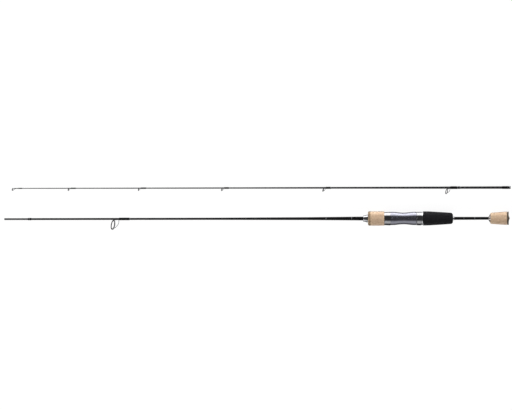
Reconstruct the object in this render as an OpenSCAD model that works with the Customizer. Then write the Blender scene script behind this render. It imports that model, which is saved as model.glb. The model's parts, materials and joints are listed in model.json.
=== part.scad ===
// Two-piece light spinning rod, taken apart, with both sections lying side by side.
// Millimetres. +X runs from the tips to the butt end, +Z is up, the line guides point towards -Y.
// The origin is the middle of the footprint on the surface that the sections lie on.
// Stations along a section are distances from the open end of the ferrule spigot.

/* [Layout] */
// Distance between the axes of the two sections
section_gap = 115; // [60:1:200]
// Angle by which the tip section's guides point above the horizontal
tip_roll = 13; // [0:1:15]

/* [Ferrule] */
// Diameter of the ground spigot
spigot_d = 3.5; // [3.4:0.05:3.6]
// Length of the spigot, which is also the depth of the socket
spigot_l = 44.5; // [30:0.5:60]
// Radial clearance between spigot and socket
ferrule_clearance = 0.05; // [0.02:0.01:0.1]
// Length of the thread wrap that stops the socket
stop_wrap_l = 6; // [4:0.5:10]
// Length of the thread reinforcement over the socket
socket_wrap_l = 13; // [8:0.5:30]

/* [Line guides] */
// Forward lean of every guide ring, in degrees
guide_lean = 24; // [15:1:28]
// Frame diameter of the butt guide
butt_guide_d = 19.2; // [16:0.2:22]
// Height of the butt guide's ring centre above the rod axis
butt_guide_h = 26.6; // [22:0.2:30]
// Station of the butt guide's ring
butt_guide_s = 203; // [150:1:300]
// Diameter of the tip-top's ring frame
tip_top_d = 5.6; // [5:0.1:7]

/* [Handle] */
// Station of the front check, where the handle starts
handle_s = 671; // [640:1:700]
// Length of the front check
front_check_l = 9; // [7:0.5:12]
// Thickness of the fore grip's dark trim ring
fore_trim_l = 4.5; // [3:0.5:6]
// Length of the fore grip's cork
fore_cork_l = 25.9; // [20:0.1:40]
// Diameter of the fore grip
fore_grip_d = 26.8; // [25.6:0.1:28]
// Length of the foam rear grip
foam_l = 55.9; // [45:0.1:70]
// Diameter of the foam rear grip at its front
foam_d = 26.6; // [25.6:0.1:28]
// Diameter of the foam rear grip before its rounded end
foam_end_d = 21.3; // [19:0.1:24]
// Exposed length of the rear shaft, check ring included
shaft_l = 66.3; // [50:0.1:100]
// Diameter of the rear shaft behind the foam grip
shaft_d = 5.7; // [5.4:0.1:6]
// Length of the end grip's check
end_check_l = 3.7; // [3:0.1:6]
// Length of the end grip's cork
end_cork_l = 30.8; // [25:0.1:60]
// Largest diameter of the end grip
end_grip_d = 25.2; // [22:0.1:26]
// Thickness of the end cap
end_cap_l = 5.4; // [3:0.1:8]

/* [Reel seat] */
// Outer diameter of the seat body and the hoods
seat_d = 24.8; // [24.4:0.1:25.4]
// How much the body narrows at its waist, measured on the radius
seat_waist = 1.5; // [0:0.1:2]
// Length of the fixed front hood
front_hood_l = 11.8; // [10:0.1:16]
// Free length between the hoods
seat_open_l = 48.6; // [40:0.1:60]
// Length of the moving hood's shell
moving_hood_l = 9; // [8:0.1:14]
// Distance of the reel foot's bed from the axis
bed_h = 9.8; // [9.6:0.1:10]
// Height of the hood pockets above the bed
pocket_h = 4.8; // [4.4:0.1:5]
// Width of the hood pockets
pocket_w = 13.2; // [12:0.1:13.6]
// Length of the threaded barrel behind the body
barrel_l = 37; // [34:0.5:40]
// Pitch of the lock thread
thread_pitch = 2; // [1.5:0.5:2.5]

/* [Hidden] */
$fn = 64;

// Play left between two bodies that slide or turn past each other
play = 0.3;
// Depth by which a cutting shape runs past the face it cuts
over = 1;

// Stations of the handle's pieces, each one starting where the piece before it ends
fore_trim_s = handle_s + front_check_l;
fore_cork_s = fore_trim_s + fore_trim_l;
front_hood_s = fore_cork_s + fore_cork_l;
seat_s = front_hood_s + front_hood_l;
moving_hood_s = seat_s + seat_open_l;
slip_ring_l = 3;
slip_ring_s = moving_hood_s + moving_hood_l;
foam_s = slip_ring_s + slip_ring_l + play;
rear_check_s = foam_s + foam_l;
rear_check_l = 2.5;
end_check_s = rear_check_s + shaft_l;
end_cork_s = end_check_s + end_check_l;
end_cap_s = end_cork_s + end_cork_l;
rod_end = end_cap_s + end_cap_l;

// The blank keeps one diameter inside the handle, and ends inside the foam grip
core_r = 3.6;
core_s = handle_s - 2;
blank_end = foam_s + 43;
// The rear shaft is glued this far into the blank
joint_l = 45;
joint_r = 2.6;
shaft_bore_r = 1.8;

// Outer radius of the butt section's blank at stations along it, with a small shoulder behind the spigot
stop_s = spigot_l + 0.1;
shoulder = 0.05;
butt_taper = [
    [0, spigot_d / 2], [spigot_l, spigot_d / 2], [stop_s, spigot_d / 2 + shoulder], [200, 1.85],
    [390, 2.05], [460, 2.3], [570, 2.7], [core_s, core_r], [blank_end, core_r]
];
// Radius of the bore of the butt section's blank
butt_bore = [[0, 1], [390, 1.25], [570, 1.8], [blank_end - joint_l, joint_r], [blank_end, joint_r]];

// The tip section is solid at its tip, and its open end lies level with the end of the butt section
tip_s = 20;
tip_taper = [[tip_s, 0.7], [460, 1.3], [625, 1.65], [815, 2.1], [rod_end, 2.4]];
// The socket's bottom narrows to the bore of the tip blank over a short cone
socket_r = spigot_d / 2 + ferrule_clearance;
socket_s = rod_end - spigot_l;
cone_s = socket_s - 6;
cone_r = socket_r - 0.2;
tip_bore = [[400, 0.4], [625, 0.8], [cone_s, 1.2], [socket_s, cone_r]];

function tip_r(s) = lookup(s, tip_taper);

// Guides of the tip section: [ring station, frame diameter, ring height, length of the wrapped foot]
tip_guides = [
    [121, 4.8, 4.4, 10],
    [252, 4.8, 4.6, 10],
    [407, 5.2, 5.4, 9],
    [596, 6.2, 7.0, 9],
    [826, 10.5, 12.0, 13]
];
function guide_s(g) = g[0];
function guide_d(g) = g[1];
function guide_h(g) = g[2];
function guide_foot(g) = g[3];
butt_guide = [butt_guide_s, butt_guide_d, butt_guide_h, 20];
// The tip-top has a tube in place of a foot
tip_top = [17, tip_top_d, 3.1];

// Proportions that every guide shares, as functions of the diameter of its frame
frame_wall = 0.45;
function ring_od(d) = d - 2 * frame_wall;
function ring_id(d) = ring_od(d) * 0.74;
function frame_t(d) = 0.55 + d * 0.045;
function ring_t(d) = frame_t(d) + 0.25 + d * 0.02;
function leg_r(d) = 0.24 + d * 0.018;
function foot_gap(d) = d * 0.5 + 0.6;
function foot_w(d) = d * 0.08 + 0.6;
function foot_t(d) = 0.3 + d * 0.012;
function wrap_t(d) = foot_t(d) + 0.12;
// The foot is thicker at its toe, where the legs join it, and thin at its end
toe_extra = 0.15;
toe_l = 1.2;
foot_end_t = 0.14;
// Where each leg meets the ring holder, in degrees from the ring's outermost point
leg_angle = 110;
// How far each leg bows out, as a share of the guide's height
leg_bow = 0.145;
leg_side = [1, -0.2, 0];

// Thread wraps run a little past the foot, and sit on the blank with a thin line of glue under them
wrap_over = 1;
glue_t = 0.01;
trim_l = 0.9;
trim_t = 0.3;

// Height of the tip section's axis, which rests on the band round its socket
socket_band_t = 0.35;
tip_h = tip_r(rod_end) + socket_band_t;
butt_h = fore_grip_d / 2;

// Footprint of both sections in Y, measured from the butt section's axis
y_low = -(butt_guide_h + butt_guide_d / 2 * cos(guide_lean) + frame_t(butt_guide_d) / 2 * sin(guide_lean));
y_high = section_gap + tip_h;
x_mid = rod_end / 2;
y_mid = (y_low + y_high) / 2;

// ---------------------------------------------------------------- placing and shared shapes

module on_butt() translate([-x_mid, -y_mid, butt_h]) children();

module on_tip() translate([-x_mid, section_gap - y_mid, tip_h]) rotate([-tip_roll, 0, 0]) children();

// Turned shape about the rod's axis: points are [station, radius]
module turned(points) rotate([0, 90, 0]) rotate_extrude() polygon([for (p = points) [p[1], p[0]]]);

// Tube between two stations with one outer and one inner radius
module tube(s0, s1, r_out, r_in) turned([[s0, r_in], [s0, r_out], [s1, r_out], [s1, r_in]]);

// Thread or epoxy sleeve of thickness t that hugs a tapered blank and thins out at both ends
module sleeve(s0, s1, taper, t) {
    edge = min(t, (s1 - s0) / 4);
    edge_t = t * 0.4;
    r0 = lookup(s0, taper);
    r1 = lookup(s1, taper);
    turned([
        [s0, r0 + glue_t], [s0, r0 + edge_t], [s0 + edge, r0 + t],
        [s1 - edge, r1 + t], [s1, r1 + edge_t], [s1, r1 + glue_t]
    ]);
}

function unit(v) = v / norm(v);

// Round wire along the circular arc from a to b, which bows out by sag towards the vector side
module arc_wire(a, b, side, sag, r) {
    chord = b - a;
    e1 = unit(chord);
    e3 = unit(cross(e1, side));
    e2 = cross(e3, e1);
    half = norm(chord) / 2;
    radius = (half * half + sag * sag) / (2 * sag);
    spread = 2 * asin(half / radius);
    centre = (a + b) / 2 - (radius - sag) * e2;
    multmatrix([
        [e1[0], e2[0], e3[0], centre[0]],
        [e1[1], e2[1], e3[1], centre[1]],
        [e1[2], e2[2], e3[2], centre[2]],
        [0, 0, 0, 1]
    ])
        rotate([0, 0, 90 - spread / 2])
            rotate_extrude(angle = spread) translate([radius, 0]) circle(r = r, $fn = 24);
}

// ---------------------------------------------------------------- line guides

// Puts a shape with its axis along Z into the leaning plane of a guide's ring
module in_ring_plane(s, h) translate([s, -h, 0]) rotate([0, 0, -guide_lean]) rotate([0, 90, 0]) children();

// Foot that lies along the blank under the wrap and thins out towards its end
module foot_bar(g, taper) {
    d = guide_d(g);
    s0 = guide_s(g) + foot_gap(d);
    s1 = s0 + guide_foot(g);
    r = lookup(s0, taper);
    linear_extrude(height = foot_w(d), center = true)
        polygon([
            [s0, 0], [s0, -r - foot_t(d) - toe_extra], [s0 + toe_l, -r - foot_t(d)],
            [s1, -r - foot_end_t], [s1, 0]
        ]);
}

// Stamped frame: a ring holder, two bowed legs and the foot
module guide_frame(g, taper) {
    d = guide_d(g);
    h = guide_h(g);
    s = guide_s(g);
    foot_s = s + foot_gap(d) + toe_l / 2;
    toe = [foot_s, -lookup(foot_s, taper) - foot_t(d) / 2, 0];
    reach = d / 2 - frame_wall / 2;
    drop = reach * cos(leg_angle);
    sway = reach * sin(leg_angle);
    cut_end = foot_s + guide_foot(g) + over;
    difference() {
        union() {
            in_ring_plane(s, h) difference() {
                cylinder(h = frame_t(d), d = d, center = true);
                cylinder(h = frame_t(d) + over, d = ring_od(d), center = true);
            }
            for (side = [-1, 1])
                arc_wire(
                    toe,
                    [s - drop * sin(guide_lean), -h - drop * cos(guide_lean), side * sway],
                    leg_side, h * leg_bow, leg_r(d)
                );
            foot_bar(g, taper);
        }
        in_ring_plane(s, h) cylinder(h = frame_t(d) + 3 * leg_r(d), d = ring_od(d), center = true);
        turned([[s, 0], [s, lookup(s, taper)], [cut_end, lookup(cut_end, taper)], [cut_end, 0]]);
    }
}

// Ceramic ring with a straight bore between two rounded mouths
module guide_ring(g) {
    d = guide_d(g);
    t = ring_t(d);
    ro = ring_od(d) / 2;
    ri = ring_id(d) / 2;
    lip = (ro - ri) * 0.45;
    bevel = lip * 0.4;
    half_land = 0.2;
    mouth = t / 2 - half_land;
    in_ring_plane(guide_s(g), guide_h(g)) rotate_extrude() polygon(concat(
        [[ro, bevel - t / 2], [ro, t / 2 - bevel], [ro - bevel, t / 2]],
        [for (a = [0:15:90]) [ri + lip * (1 - sin(a)), half_land + mouth * cos(a)]],
        [for (a = [90:-15:0]) [ri + lip * (1 - sin(a)), -half_land - mouth * cos(a)]],
        [[ro - bevel, -t / 2]]
    ));
}

function wrap_start(g) = guide_s(g) + foot_gap(guide_d(g)) + toe_l;
function wrap_end(g) = guide_s(g) + foot_gap(guide_d(g)) + guide_foot(g) + wrap_over;

// Thread and epoxy over a guide's foot
module guide_wrap(g, taper) difference() {
    sleeve(wrap_start(g), wrap_end(g), taper, wrap_t(guide_d(g)));
    foot_bar(g, taper);
}

// ---------------------------------------------------------------- tip section

module tip_blank() color("#1b1c1e") on_tip() difference() {
    turned(concat([[tip_s, 0]], tip_taper, [[rod_end, 0]]));
    turned(concat([[tip_bore[0][0], 0]], tip_bore, [[socket_s, 0]]));
    turned([[socket_s, 0], [socket_s, socket_r], [rod_end + over, socket_r], [rod_end + over, 0]]);
}

tube_s = tip_s - 0.6;
tube_end = tip_s + 9;
tube_t = 0.35;
tip_leg_r = 0.33;
tip_leg_sag = 0.5;
// Where each of the tip-top's legs leaves the tube
tip_leg_s = tip_s + 2.4;
tip_leg_y = 0.7;
tip_leg_z = 0.5;

module tip_top_frame() color("#3c3e42") on_tip() {
    reach = tip_top_d / 2 - frame_wall / 2;
    difference() {
        union() {
            in_ring_plane(guide_s(tip_top), guide_h(tip_top))
                cylinder(h = frame_t(tip_top_d), d = tip_top_d, center = true);
            for (side = [-1, 1])
                arc_wire(
                    [tip_leg_s, -tip_leg_y, side * tip_leg_z],
                    [guide_s(tip_top), -guide_h(tip_top), side * reach],
                    leg_side, tip_leg_sag, tip_leg_r
                );
            tube(tube_s, tube_end, tip_r(tip_s) + tube_t, 0);
        }
        in_ring_plane(guide_s(tip_top), guide_h(tip_top))
            cylinder(h = tip_top_d, d = ring_od(tip_top_d), center = true);
        turned([
            [tip_s, 0], [tip_s, tip_r(tip_s)],
            [tube_end + over, tip_r(tube_end + over)], [tube_end + over, 0]
        ]);
    }
}

module tip_top_ring() color("#26282b") on_tip() guide_ring(tip_top);

tip_wrap_l = 6;

module tip_top_wrap() color("#141416") on_tip() sleeve(tube_end, tube_end + tip_wrap_l, tip_taper, trim_t);

module tip_guide_frame(i) color("#8d9095") on_tip()
    guide_frame(tip_guides[i], tip_taper);

module tip_guide_ring(i) color("#26282b") on_tip() guide_ring(tip_guides[i]);

module tip_guide_wrap(i) color("#121214") on_tip()
    guide_wrap(tip_guides[i], tip_taper);

// Silver thread behind guide 4, and on both sides of the dark band behind guide 5
trim_4_s = wrap_end(tip_guides[3]);
trim_5_s = wrap_end(tip_guides[4]);
band_5_l = 4;

module tip_trim_bands() color("#c9cbce") on_tip()
    for (s = [trim_4_s, trim_5_s, trim_5_s + trim_l + band_5_l])
        sleeve(s, s + trim_l, tip_taper, trim_t);

module guide_5_band() color("#121214") on_tip()
    sleeve(trim_5_s + trim_l, trim_5_s + trim_l + band_5_l, tip_taper, trim_t);

socket_band_l = 2.2;
socket_trim_l = 0.8;
socket_trim_s = rod_end - socket_band_l - socket_trim_l;
socket_wrap_t = 0.25;

module socket_wrap() color("#121214") on_tip()
    sleeve(socket_trim_s - socket_wrap_l, socket_trim_s, tip_taper, socket_wrap_t);

module socket_trim() color("#c9cbce") on_tip()
    sleeve(socket_trim_s, socket_trim_s + socket_trim_l, tip_taper, socket_wrap_t);

module socket_band() color("#0c0c0d") on_tip()
    tube(rod_end - socket_band_l, rod_end, tip_h, tip_r(rod_end));

// ---------------------------------------------------------------- butt section, ahead of the handle

module butt_blank() color("#17181a") on_butt() difference() {
    turned(concat([[0, 0]], butt_taper, [[blank_end, 0]]));
    turned(concat([[-over, 0], [-over, butt_bore[0][1]]], butt_bore,
        [[blank_end + over, joint_r], [blank_end + over, 0]]));
}

stop_trim_s = stop_s + 1.6;
stop_t = 0.45;

module ferrule_wrap() color("#0c0c0d") on_butt() {
    sleeve(stop_s, stop_trim_s, butt_taper, stop_t);
    sleeve(stop_trim_s + trim_l, spigot_l + stop_wrap_l, butt_taper, stop_t);
}

module ferrule_trim() color("#c9cbce") on_butt()
    sleeve(stop_trim_s, stop_trim_s + trim_l, butt_taper, stop_t);

module butt_guide_frame() color("#8d9095") on_butt()
    guide_frame(butt_guide, butt_taper);

module butt_guide_ring() color("#26282b") on_butt() guide_ring(butt_guide);

module butt_guide_wrap() color("#0f0f11") on_butt()
    guide_wrap(butt_guide, butt_taper);

module butt_guide_trims() color("#c9cbce") on_butt()
    sleeve(wrap_end(butt_guide), wrap_end(butt_guide) + trim_l, butt_taper, trim_t);

// Plain silver bands ahead of the handle, and how far each one is from it
band_gaps = [70, 22];
band_t = trim_t / 2;

module blank_trim_bands() color("#c9cbce") on_butt()
    for (gap = band_gaps)
        sleeve(handle_s - gap, handle_s - gap + trim_l, butt_taper, band_t);

// ---------------------------------------------------------------- fore grip

// Radius of the front check at shares of its length: a plain collar that flares towards the cork
front_check_profile = [[0, 5.4], [0.09, 6], [0.6, 6.05], [0.85, 7.3], [1, 7.6]];

module front_check() color("#c4c4c8") on_butt()
    turned(concat(
        [[handle_s, core_r]],
        [for (p = front_check_profile) [handle_s + p[0] * front_check_l, p[1]]],
        [[fore_trim_s, core_r]]
    ));

fore_round_r = 2.4;

module fore_grip_trim_ring() color("#7d6149") on_butt() {
    r = fore_grip_d / 2;
    turned(concat(
        [[fore_trim_s, core_r]],
        [for (a = [0:15:90]) [fore_trim_s + fore_round_r * (1 - cos(a)), r - fore_round_r * (1 - sin(a))]],
        [[fore_cork_s, r], [fore_cork_s, core_r]]
    ));
}

module fore_cork(s0) color("#d9b68e") on_butt() tube(s0, s0 + fore_cork_l / 2, fore_grip_d / 2, core_r);

// ---------------------------------------------------------------- reel seat

seat_r = seat_d / 2;
shell_t = 0.7;
liner_t = 0.8;
seat_bore_r = 6;
barrel_r = 8.4;
thread_depth = 0.7;
keyway_w = 3;
keyway_floor = barrel_r - 1;
hood_corner_r = 1.5;
// End wall of each hood's liner, and how far the liner stays back from its shell's edge
pocket_wall = 2;
liner_inset = 0.4;
// The floor under the front hood lies a little lower than the bed between the hoods
pocket_floor_drop = 0.5;
hood_top = bed_h + pocket_h;
body_end = moving_hood_s - play;
barrel_end = body_end + barrel_l;

// Cross-section of a hood: the round seat plus the hump over the reel foot, grown by g.
// The section's X is the rod's -Z, and its -Y is the rod's -Y.
module hood_section(g) {
    w = pocket_w / 2 + g;
    corner = hood_corner_r + g;
    circle(r = seat_r - shell_t - liner_t + g);
    translate([-w, -hood_top - g + corner]) square([2 * w, hood_top]);
    translate([-w + corner, -hood_top - g]) square([2 * (w - corner), corner + over]);
    for (side = [-1, 1])
        translate([side * (w - corner), -hood_top - g + corner]) circle(r = corner);
}

module along(s, l) translate([s, 0, 0]) rotate([0, 90, 0]) linear_extrude(height = l) children();

// Space that a reel's foot enters: as wide as the pocket, from the bed to the pocket's roof
module foot_pocket(s, l) along(s, l) intersection() {
    hood_section(0);
    translate([-pocket_w / 2, -hood_top - over]) square([pocket_w, pocket_h + over]);
}

module hood_shell(s, l) difference() {
    along(s, l) hood_section(shell_t + liner_t);
    along(s - over, l + 2 * over) hood_section(liner_t);
}

waist_inset = 3;
waist_s = seat_s + waist_inset;
waist_l = seat_open_l - 2 * waist_inset;
waist_steps = 16;

// One ridge of the lock thread from its root: [share of the pitch, radius]
ridge = [[0, barrel_r - thread_depth], [0.3, barrel_r], [0.5, barrel_r], [0.8, barrel_r - thread_depth]];

module reel_seat_body() color("#7b8194") on_butt() difference() {
    turned(concat(
        [[front_hood_s, seat_bore_r], [front_hood_s, seat_r - shell_t]],
        [[seat_s, seat_r - shell_t], [seat_s, seat_r]],
        [for (i = [0:waist_steps])
            [waist_s + waist_l * i / waist_steps, seat_r - seat_waist * pow(sin(180 * i / waist_steps), 2)]],
        [[body_end, seat_r], [body_end, barrel_r - thread_depth]],
        [for (s = [body_end + thread_pitch:thread_pitch:barrel_end - thread_pitch], p = ridge)
            [s + p[0] * thread_pitch, p[1]]],
        [[barrel_end, barrel_r - thread_depth], [barrel_end, seat_bore_r]]
    ));
    linear_extrude(height = 2 * seat_d, center = true) polygon([
        [front_hood_s - over, -seat_d], [front_hood_s - over, pocket_floor_drop - bed_h],
        [seat_s, pocket_floor_drop - bed_h], [seat_s, -bed_h],
        [moving_hood_s, -bed_h], [moving_hood_s, -seat_d]
    ]);
    translate([body_end, keyway_floor, -keyway_w / 2]) cube([barrel_l + over, barrel_r, keyway_w]);
}

module front_hood() color("#a4a6ab") on_butt() hood_shell(front_hood_s, front_hood_l);

module front_hood_liner() color("#222326") on_butt() difference() {
    intersection() {
        along(front_hood_s, front_hood_l - liner_inset) hood_section(liner_t);
        translate([front_hood_s - over, -bed_h - 2 * seat_r, -seat_r])
            cube([front_hood_l + 2 * over, 2 * seat_r, seat_d]);
    }
    foot_pocket(front_hood_s + pocket_wall, front_hood_l);
}

bush_l = 20;
bush_inset = 3;

module seat_bush(s0) color("#3a3b3d") on_butt() tube(s0, s0 + bush_l, seat_bore_r, core_r);

// Fine groove round the moving hood, near its front edge
groove_s = moving_hood_s + 1.2;
groove_w = 0.6;
groove_depth = 0.25;

module moving_hood() color("#a4a6ab") on_butt() difference() {
    hood_shell(moving_hood_s, moving_hood_l);
    difference() {
        tube(groove_s, groove_s + groove_w, seat_r + over, seat_r - groove_depth);
        translate([moving_hood_s, -bed_h - 2 * seat_r, -seat_r]) cube([moving_hood_l, 2 * seat_r, seat_d]);
    }
}

module moving_hood_liner() color("#222326") on_butt() {
    liner_s = moving_hood_s + liner_inset;
    liner_l = moving_hood_l - liner_inset;
    difference() {
        along(liner_s, liner_l) hood_section(liner_t);
        tube(moving_hood_s, moving_hood_s + moving_hood_l + over, barrel_r + play, 0);
        foot_pocket(moving_hood_s - over, moving_hood_l - pocket_wall + over);
    }
    translate([liner_s, keyway_floor + play, play - keyway_w / 2])
        cube([liner_l, barrel_r + play - keyway_floor, keyway_w - 2 * play]);
}

// The slip ring starts with a narrow step and then stands a little proud of the hood
slip_step_l = 0.5;
slip_step_r = seat_r - 0.3;
slip_ring_r = seat_r + 0.2;

module slip_ring() color("#b9bbc0") on_butt()
    turned([
        [slip_ring_s, barrel_r + play], [slip_ring_s, slip_step_r], [slip_ring_s + slip_step_l, slip_step_r],
        [slip_ring_s + slip_step_l, slip_ring_r], [slip_ring_s + slip_ring_l, slip_ring_r],
        [slip_ring_s + slip_ring_l, barrel_r + play]
    ]);

// ---------------------------------------------------------------- rear grip, shaft and end grip

nut_r = 10.2;
nut_l = 30;
foam_bore_r = core_r + 0.8;
rear_bore_r = shaft_d / 2 + play;
// The foam's front edge is broken, its end is rounded, and its bore narrows to the shaft over the nose
foam_edge = 0.3;
foam_round_r = 4.7;
foam_nose = 3;
// How far the foam's radius has dropped at shares of its length
foam_drops = [[0.2, 0.15], [0.57, 1.35]];

module lock_nut() color("#202124") on_butt() tube(foam_s, foam_s + nut_l, nut_r, barrel_r + play);

module rear_grip_foam() color("#202123") on_butt() {
    foam_end = foam_s + foam_l;
    turned(concat(
        [[foam_s, nut_r], [foam_s, foam_d / 2 - foam_edge], [foam_s + foam_edge, foam_d / 2]],
        [for (p = foam_drops) [foam_s + p[0] * foam_l, foam_d / 2 - p[1]]],
        [for (a = [0:15:90])
            [foam_end - foam_round_r * (1 - sin(a)), foam_end_d / 2 - foam_round_r * (1 - cos(a))]],
        [[foam_end, rear_bore_r], [foam_end - foam_nose, rear_bore_r], [foam_end - foam_nose, foam_bore_r]],
        [[foam_s + nut_l, foam_bore_r], [foam_s + nut_l, nut_r]]
    ));
}

rear_check_t = 0.45;

module rear_check() color("#c9cbce") on_butt()
    tube(rear_check_s, rear_check_s + rear_check_l, rear_bore_r + rear_check_t, rear_bore_r);

shaft_end_r = shaft_d / 2 - 0.18;
shaft_taper = [
    [blank_end, shaft_d / 2], [rear_check_s, shaft_d / 2],
    [end_check_s, shaft_end_r], [end_cap_s, shaft_end_r]
];

module rear_shaft() color("#151517") on_butt() difference() {
    turned(concat([[blank_end - joint_l, 0], [blank_end - joint_l, joint_r], [blank_end, joint_r]],
        shaft_taper, [[end_cap_s, 0]]));
    tube(blank_end - joint_l - over, end_cap_s + over, shaft_bore_r, 0);
}

// Plain silver bands on the shaft, and how far each one is behind the foam grip
shaft_band_gaps = [20, 40];

module shaft_trim_bands() color("#c9cbce") on_butt()
    for (gap = shaft_band_gaps)
        sleeve(rear_check_s + gap, rear_check_s + gap + trim_l, shaft_taper, band_t);

// Radius of the end grip's check at shares of its length: a cone that opens towards the cork
end_check_profile = [[0, 3.2], [0.2, 3.9], [0.92, 8.6], [1, 8.7]];

module end_check() color("#c7bfbd") on_butt()
    turned(concat(
        [[end_check_s, shaft_end_r]],
        [for (p = end_check_profile) [end_check_s + p[0] * end_check_l, p[1]]],
        [[end_cork_s, shaft_end_r]]
    ));

// The end grip is a cone that widens towards the end cap, with a rounded front edge
end_front_r = 10.4;
end_edge_r = 1.2;
end_edge_l = 2.4;
function end_grip_r(s) =
    let (cone_r = end_front_r + (end_grip_d / 2 - end_front_r) * (s - end_cork_s) / end_cork_l)
    let (from_edge = 1 - min(1, (s - end_cork_s) / end_edge_l))
    cone_r - end_edge_r * (1 - sqrt(1 - from_edge * from_edge));

// Cork between two stations; its outline is stepped more closely towards its front
module end_cork(s0, s1, steps) color("#d9b68e") on_butt()
    turned(concat(
        [[s0, shaft_end_r]],
        [for (i = [0:steps]) let (s = s0 + (s1 - s0) * pow(i / steps, 2)) [s, end_grip_r(s)]],
        [[s1, shaft_end_r]]
    ));

cap_inset = 0.1;
cap_round_r = 2;

module end_cap() color("#73665a") on_butt() {
    r = end_grip_d / 2 - cap_inset;
    turned(concat(
        [[end_cap_s, 0], [end_cap_s, r]],
        [for (a = [0:15:90]) [rod_end - cap_round_r * (1 - sin(a)), r - cap_round_r * (1 - cos(a))]],
        [[rod_end, 0]]
    ));
}

// ---------------------------------------------------------------- nodes

tip_blank();
tip_top_frame();
tip_top_ring();
tip_top_wrap();
tip_guide_frame(0);  // guide_1_frame
tip_guide_frame(1);  // guide_2_frame
tip_guide_frame(2);  // guide_3_frame
tip_guide_frame(3);  // guide_4_frame
tip_guide_frame(4);  // guide_5_frame
tip_guide_ring(0);  // guide_1_ring
tip_guide_ring(1);  // guide_2_ring
tip_guide_ring(2);  // guide_3_ring
tip_guide_ring(3);  // guide_4_ring
tip_guide_ring(4);  // guide_5_ring
tip_guide_wrap(0);  // guide_1_wrap
tip_guide_wrap(1);  // guide_2_wrap
tip_guide_wrap(2);  // guide_3_wrap
tip_guide_wrap(3);  // guide_4_wrap
tip_guide_wrap(4);  // guide_5_wrap
tip_trim_bands();
guide_5_band();
socket_wrap();
socket_trim();
socket_band();
butt_blank();
ferrule_wrap();
ferrule_trim();
butt_guide_frame();
butt_guide_ring();
butt_guide_wrap();
butt_guide_trims();
blank_trim_bands();
front_check();
fore_grip_trim_ring();
fore_cork(fore_cork_s);  // fore_grip_cork_front
fore_cork(fore_cork_s + fore_cork_l / 2);  // fore_grip_cork_rear
reel_seat_body();
front_hood();
front_hood_liner();
seat_bush(front_hood_s + bush_inset);  // seat_bush_front
seat_bush(barrel_end - bush_inset - bush_l);  // seat_bush_rear
moving_hood();
moving_hood_liner();
slip_ring();
lock_nut();
rear_grip_foam();
rear_check();
rear_shaft();
shaft_trim_bands();
end_check();
end_cork(end_cork_s, end_cork_s + end_cork_l / 2, 10);  // end_grip_cork_front
end_cork(end_cork_s + end_cork_l / 2, end_cap_s, 1);  // end_grip_cork_rear
end_cap();
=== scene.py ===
"""Looks of a two-piece light spinning rod, laid out as two sections on a light table.

Everything is in metres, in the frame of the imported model: +X runs from the tips to the butt end, +Z is
up, and the line guides point towards -Y. The frame gives the places and the main sizes, and sizes that
it doesn't give are named here.
"""
import functools
import json
import math

import bmesh
import bpy
import numpy as np
from mathutils import Matrix, Vector, noise


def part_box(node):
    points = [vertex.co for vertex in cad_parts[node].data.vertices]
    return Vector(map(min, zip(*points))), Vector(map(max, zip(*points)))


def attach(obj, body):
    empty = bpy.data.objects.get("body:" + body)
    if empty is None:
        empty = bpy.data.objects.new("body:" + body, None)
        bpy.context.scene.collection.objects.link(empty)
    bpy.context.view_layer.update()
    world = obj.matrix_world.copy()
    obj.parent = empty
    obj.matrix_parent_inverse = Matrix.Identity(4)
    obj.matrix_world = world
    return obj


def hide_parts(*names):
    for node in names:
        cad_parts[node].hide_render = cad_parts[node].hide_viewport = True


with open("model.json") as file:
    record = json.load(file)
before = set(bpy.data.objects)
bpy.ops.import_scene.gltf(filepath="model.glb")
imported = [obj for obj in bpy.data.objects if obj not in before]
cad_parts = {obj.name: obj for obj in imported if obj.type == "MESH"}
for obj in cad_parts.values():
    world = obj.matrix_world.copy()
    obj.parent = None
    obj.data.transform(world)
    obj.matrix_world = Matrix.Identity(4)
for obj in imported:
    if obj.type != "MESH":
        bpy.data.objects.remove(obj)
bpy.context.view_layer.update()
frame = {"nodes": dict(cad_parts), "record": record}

MM = 0.001
MOUNTS = {mount["name"]: mount for mount in frame["record"]["mounts"]}
SLOTS = {part["node"]: part["material_slot"] for part in frame["record"]["subparts"]}
BODIES = {node: body for body, nodes in frame["record"]["behaviour"]["bodies"].items() for node in nodes}


# ---------------- shaping


def angles(count):
    """Evenly spaced angles of a full turn."""
    return [2 * math.pi * k / count for k in range(count)]


def clamp(t):
    return min(max(t, 0.0), 1.0)


def smoothstep(t):
    t = clamp(t)
    return t * t * (3 - 2 * t)


def quarter_round(t):
    """Rises from 0 to 1 as a quarter of a circle does."""
    return math.sqrt(1 - (1 - clamp(t)) ** 2)


def soft_min(a, b, blend):
    """The smaller of two lengths, with the corner between them rounded over blend."""
    h = max(blend - abs(a - b), 0) / blend
    return min(a, b) - h * h * blend / 4


def soft_max(a, b, blend):
    return -soft_min(-a, -b, blend)


# ---------------- the two rod sections


def low(node):
    return Vector(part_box(node)[0])


def high(node):
    return Vector(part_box(node)[1])


def reach(node):
    """Start, end and largest radius of a turned node."""
    return low(node).x, high(node).x, (high(node).z - low(node).z) / 2


def around_axis(node, section):
    """Place along the section's axis and distance from it, for each vertex of a node."""
    for vertex in frame["nodes"][node].data.vertices:
        x, y, z = vertex.co
        yield x, math.hypot(y - section.y, z - section.z)


def widest(node, section):
    """Outer radius of a turned node along X, as (x, r) points."""
    radii = {}
    for x, r in around_axis(node, section):
        x = round(x, 5)
        radii[x] = max(radii.get(x, 0), r)
    return sorted(radii.items())


def radius_at(x, outline):
    stations, radii = zip(*outline)
    return float(np.interp(x, stations, radii))


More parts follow.
